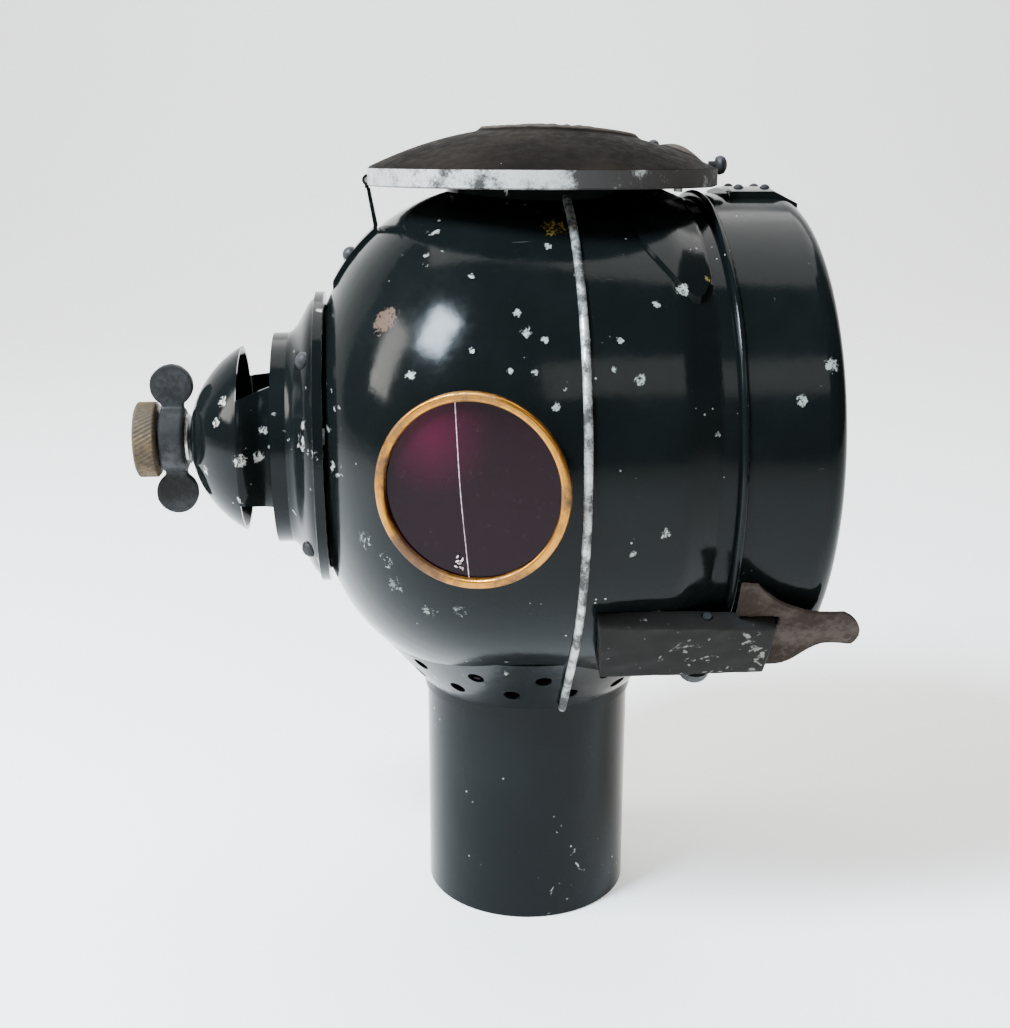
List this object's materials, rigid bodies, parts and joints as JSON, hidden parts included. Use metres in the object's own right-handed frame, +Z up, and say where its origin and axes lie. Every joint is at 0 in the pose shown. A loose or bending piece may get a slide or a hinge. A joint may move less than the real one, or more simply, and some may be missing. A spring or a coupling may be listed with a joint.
{
  "type": "railway lantern",
  "caption": "Black sheet-metal railway lantern with a round body, hinged lid, front lens door, side light, rear ventilator and a tubular post socket.",
  "frame": {"origin": "centre of the socket tube's bottom edge", "axes": "+Z up along the tube, +X towards the front door's lens, +Y to the far side light"},
  "size_m": [0.208, 0.1632, 0.2441],
  "materials": {
    "black_japan": "glossy japan black with chips",
    "worn_black": "dull brown black, worn edges",
    "dark_iron": "dark, rubbed",
    "aged_brass": "aged",
    "ruby_glass": "deep ruby",
    "clear_glass": "clear",
    "tin_plate": "dull tin",
    "steel": "plain",
    "silvered": "silver plated",
    "rusty_steel": "brown rusty spring steel",
    "felt_grey": "felt",
    "wick_cotton": "woven cotton"
  },
  "bodies": {
    "body": {"rear_shell": "black_japan", "front_shell": "black_japan", "air_skirt": "black_japan", "seam_bead": "black_japan", "socket_tube": "black_japan", "body_floor": "tin_plate", "chimney_ring": "tin_plate", "rear_collar": "black_japan", "collar_rivets": "dark_iron", "vent_cowl": "black_japan", "reflector": "silvered", "reflector_stud": "steel", "clamp_washer": "steel", "side_lens_ring_near": "aged_brass", "side_lens_ring_far": "aged_brass", "side_glass_near": "ruby_glass", "side_glass_far": "ruby_glass", "side_retainer_near": "tin_plate", "side_retainer_far": "tin_plate", "lid_hinge_pin": "steel", "lid_strap": "black_japan", "strap_rivet": "dark_iron", "lid_saddle": "black_japan", "door_hinge_bracket": "black_japan", "door_hinge_pin": "steel", "latch_bracket": "worn_black", "latch_pin": "dark_iron", "latch_spring": "steel", "fount_seat": "tin_plate"},
    "wing_nut": {"wing_nut": "dark_iron"},
    "knurled_nut": {"knurled_nut": "aged_brass"},
    "lid": {"lid_dome": "worn_black", "lid_rim_band": "worn_black", "lid_hinge_leaf": "worn_black", "lid_knob": "dark_iron", "lid_rivet": "dark_iron", "lid_catch": "steel", "lid_baffle": "tin_plate"},
    "door": {"door_drum": "black_japan", "door_bead": "black_japan", "door_lens": "clear_glass", "lens_gasket": "felt_grey", "lens_retainer": "tin_plate", "door_top_plate": "black_japan", "top_plate_rivets": "dark_iron", "door_hinge_leaf": "black_japan"},
    "latch": {"latch_lever": "rusty_steel"},
    "fount": {"fount_tank": "tin_plate", "burner_collar": "aged_brass", "burner_cone": "aged_brass", "wick_tube": "aged_brass"},
    "winder": {"winder_spindle": "aged_brass", "winder_wheel": "aged_brass", "winder_knob": "aged_brass"},
    "wick": {"wick": "wick_cotton"}
  },
  "joints": [
    {"name": "lid_hinge", "type": "hinge", "parent": "body", "child": "lid", "pos_m": [-0.0482, 0, 0.2274], "axis": [0, -1, 0], "range_deg": [0, 100]},
    {"name": "door_hinge", "type": "hinge", "parent": "body", "child": "door", "pos_m": [0.0478, 0.0776, 0.1505], "axis": [0, 0, 1], "range_deg": [0, 110]},
    {"name": "latch_pivot", "type": "hinge", "parent": "body", "child": "latch", "pos_m": [0.042, -0.06491, 0.10834], "axis": [0, 0.5446, -0.8387], "range_deg": [0, 5], "stiffness_Nm_per_rad": 0.5},
    {"name": "wing_nut_turn", "type": "hinge", "parent": "body", "child": "wing_nut", "pos_m": [-0.1086, 0, 0.1505], "axis": [1, 0, 0], "range_deg": [0, 180]},
    {"name": "lock_nut_turn", "type": "hinge", "parent": "body", "child": "knurled_nut", "pos_m": [-0.1166, 0, 0.1505], "axis": [1, 0, 0], "range_deg": [0, 360]},
    {"name": "fount_slide", "type": "slide", "parent": "body", "child": "fount", "axis": [1, 0, 0], "range_m": [0, 0.03]},
    {"name": "winder_turn", "type": "hinge", "parent": "fount", "child": "winder", "pos_m": [0.004, 0, 0.1219], "axis": [0, 1, 0], "range_deg": [-100, 60]},
    {"name": "wick_rise", "type": "slide", "parent": "fount", "child": "wick", "axis": [0, 0, 1], "range_m": [-0.006, 0.0036]}
  ],
  "couplings": [
    {"joint": "wick_rise", "follows": "winder_turn", "m_per_rad": 0.0033}
  ]
}
